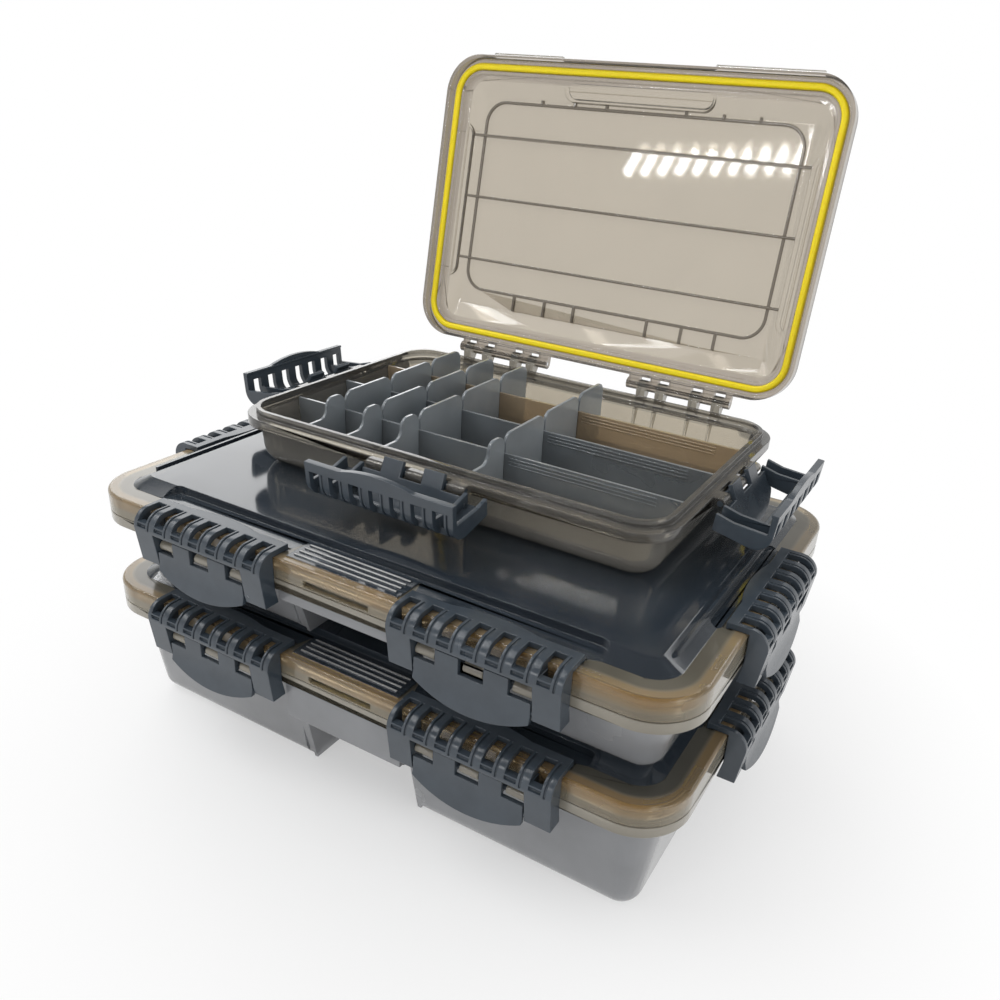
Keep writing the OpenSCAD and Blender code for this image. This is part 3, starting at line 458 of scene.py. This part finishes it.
def pale_floor():
    """A matt floor that fades to plain white away from the boxes, and keeps their shadow near them."""
    corners = np.array([[-40, -40, 0], [40, -40, 0], [40, 40, 0], [-40, 40, 0]], float)
    mesh = bpy.data.meshes.new("floor")
    mesh.from_pydata(corners.tolist(), [], [[0, 1, 2, 3]])
    floor = bpy.data.objects.new("floor", mesh)
    bpy.context.scene.collection.objects.link(floor)
    m, tree, mm = new_material("pale_floor")
    matt = add(tree, "ShaderNodeBsdfPrincipled", Base_Color=linear("#f2f2f2"), Roughness=0.6)
    away = add(tree, "ShaderNodeVectorMath", {"operation": "LENGTH"}, out="Value", i0=mm)
    white = add(tree, "ShaderNodeMapRange", Value=away, From_Min=130, From_Max=330, To_Min=0.45)
    seen = add(tree, "ShaderNodeMath", {"operation": "MAXIMUM"},
               i0=add(tree, "ShaderNodeLightPath", out="Is Camera Ray"),
               i1=add(tree, "ShaderNodeLightPath", out="Is Glossy Ray"))
    seen = add(tree, "ShaderNodeMath", {"operation": "MAXIMUM"}, i0=seen,
               i1=add(tree, "ShaderNodeLightPath", out="Is Transmission Ray"))
    seen = add(tree, "ShaderNodeMath", {"operation": "MULTIPLY"}, i0=white, i1=seen)
    lift = add(tree, "ShaderNodeEmission", Color=(1, 1, 1, 1), Strength=1.0)
    add(tree, "ShaderNodeOutputMaterial",
        Surface=add(tree, "ShaderNodeMixShader", i0=seen, i1=matt, i2=lift))
    mesh.materials.append(m)


def lamp(name, at, towards, size, power, roll=0.0):
    """A rectangular lamp at a place in metres, aimed at another and then turned by roll degrees."""
    light = bpy.data.lights.new(name, "AREA")
    light.shape, light.size, light.size_y = "RECTANGLE", size[0], size[1]
    light.energy = power
    o = bpy.data.objects.new(name, light)
    bpy.context.scene.collection.objects.link(o)
    o.location = at
    o.rotation_mode = "QUATERNION"
    aim = (Vector(towards) - Vector(at)).to_track_quat("-Z", "Y")
    o.rotation_quaternion = aim @ Quaternion((0, 0, 1), math.radians(roll))


def lamps():
    """A soft lamp and five ceiling tubes at the left, a row of louvres that the open lid mirrors, and weaker
    lamps at the right and behind."""
    lamp("soft_left", (-1.1, -0.5, 1.5), (0, 0, 0.1), (1.2, 1.2), 6)
    for i in range(5):
        lamp("ceiling_tube_%d" % (i + 1), (-1.35 + 0.24 * i, -0.62 + 0.1 * i, 1.45 + 0.05 * i), (0, 0, 0.1),
             (1.2, 0.035), 1.5)
    for i in range(10):
        lamp("louvre_%d" % (i + 1), (-0.868 + 0.0474 * i, -1.768 - 0.0095 * i, 0.925 + 0.0081 * i),
             (0.07, 0.17, 0.3), (0.022, 0.1), 0.25, roll=-20)
    lamp("right", (1.5, -0.5, 0.6), (0, 0, 0.1), (1.0, 0.8), 4)
    lamp("back_left", (-1.45, 1.15, 0.95), (0, 0, 0.1), (1.3, 0.9), 7)
    lamp("back_strip", (0.2, 1.3, 1.2), (0, 0.1, 0.15), (1.2, 0.3), 3)


def camera():
    """The viewpoint: place, right, up and backward directions, and focal length for a square frame."""
    data = bpy.data.cameras.new("camera")
    cam = bpy.data.objects.new("camera", data)
    bpy.context.scene.collection.objects.link(cam)
    right = (0.86338088, 0.5010209, 0.05959457)
    up = (-0.27341952, 0.36532771, 0.88981876)
    back = (0.42404625, -0.78454683, 0.45240585)
    place = Matrix.Translation((0.241287, -0.377731, 0.341364))
    cam.matrix_world = place @ Matrix((right, up, back)).transposed().to_4x4()
    data.sensor_width, data.lens = 36, 32.081
    data.shift_x, data.shift_y = -0.02513, 0.03341
    data.clip_start, data.clip_end = 0.01, 20
    bpy.context.scene.camera = cam


bpy.context.scene.view_settings.view_transform = "Standard"
bpy.context.scene.cycles.transparent_max_bounces = 32  # clear walls, ribs and dividers stand many deep
surround()
pale_floor()
lamps()
camera()
